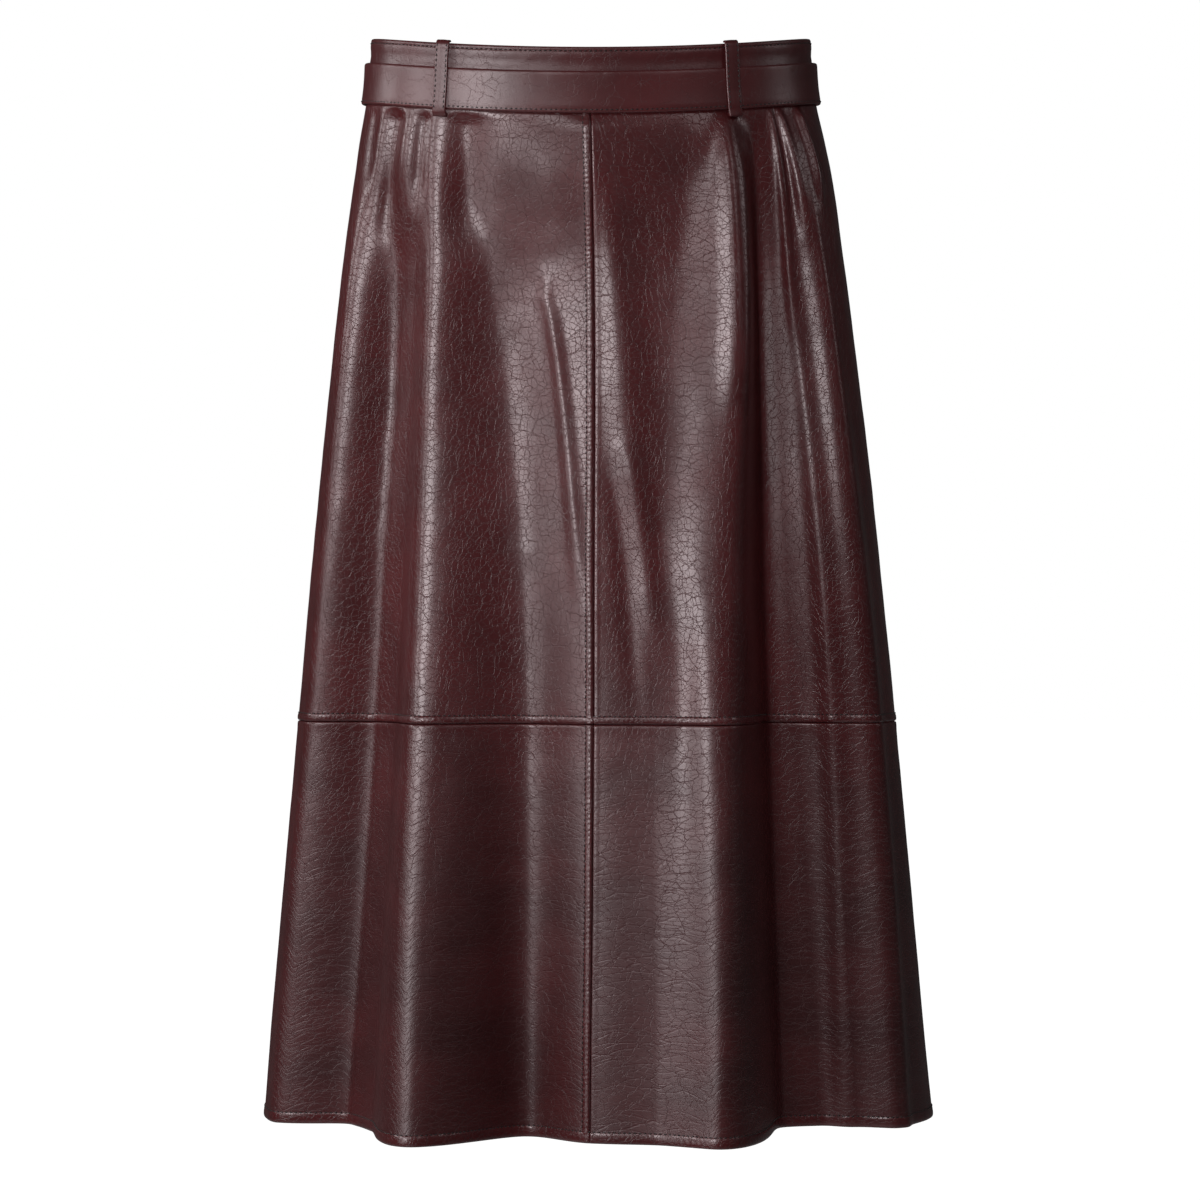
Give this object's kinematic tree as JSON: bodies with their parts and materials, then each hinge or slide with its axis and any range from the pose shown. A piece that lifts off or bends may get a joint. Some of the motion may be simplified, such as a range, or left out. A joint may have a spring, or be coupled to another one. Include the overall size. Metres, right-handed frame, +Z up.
{
  "type": "leather skirt",
  "caption": "Belted A-line midi skirt in dark red leather, worn and hollow: waistband with loops and a plain belt, centre seams, side seams, a cross seam above the flared and rippling hem.",
  "frame": {"origin": "middle of the waist, halfway down the waistband at the side seams, where the wearer holds the skirt up", "axes": "+Z up along the wearer, -Y towards the front of the skirt, +X to the right as seen from the front"},
  "size_m": [0.4674, 0.3977, 0.7562],
  "materials": {
    "panel_leather": "glossy crackled leather",
    "band_leather": "glossy crackled leather, stitched",
    "belt_leather": "smooth satin leather, stitched"
  },
  "bodies": {
    "root": {"front_left_upper": "panel_leather", "front_left_lower": "panel_leather", "front_right_upper": "panel_leather", "front_right_lower": "panel_leather", "back_right_upper": "panel_leather", "back_right_lower": "panel_leather", "back_left_upper": "panel_leather", "back_left_lower": "panel_leather", "waistband_front": "band_leather", "waistband_back_right": "band_leather", "waistband_back_left": "band_leather", "belt": "belt_leather", "belt_loop_front_left": "belt_leather", "belt_loop_front_right": "belt_leather", "belt_loop_back_right": "belt_leather", "belt_loop_back_left": "belt_leather"}
  },
  "joints": []
}
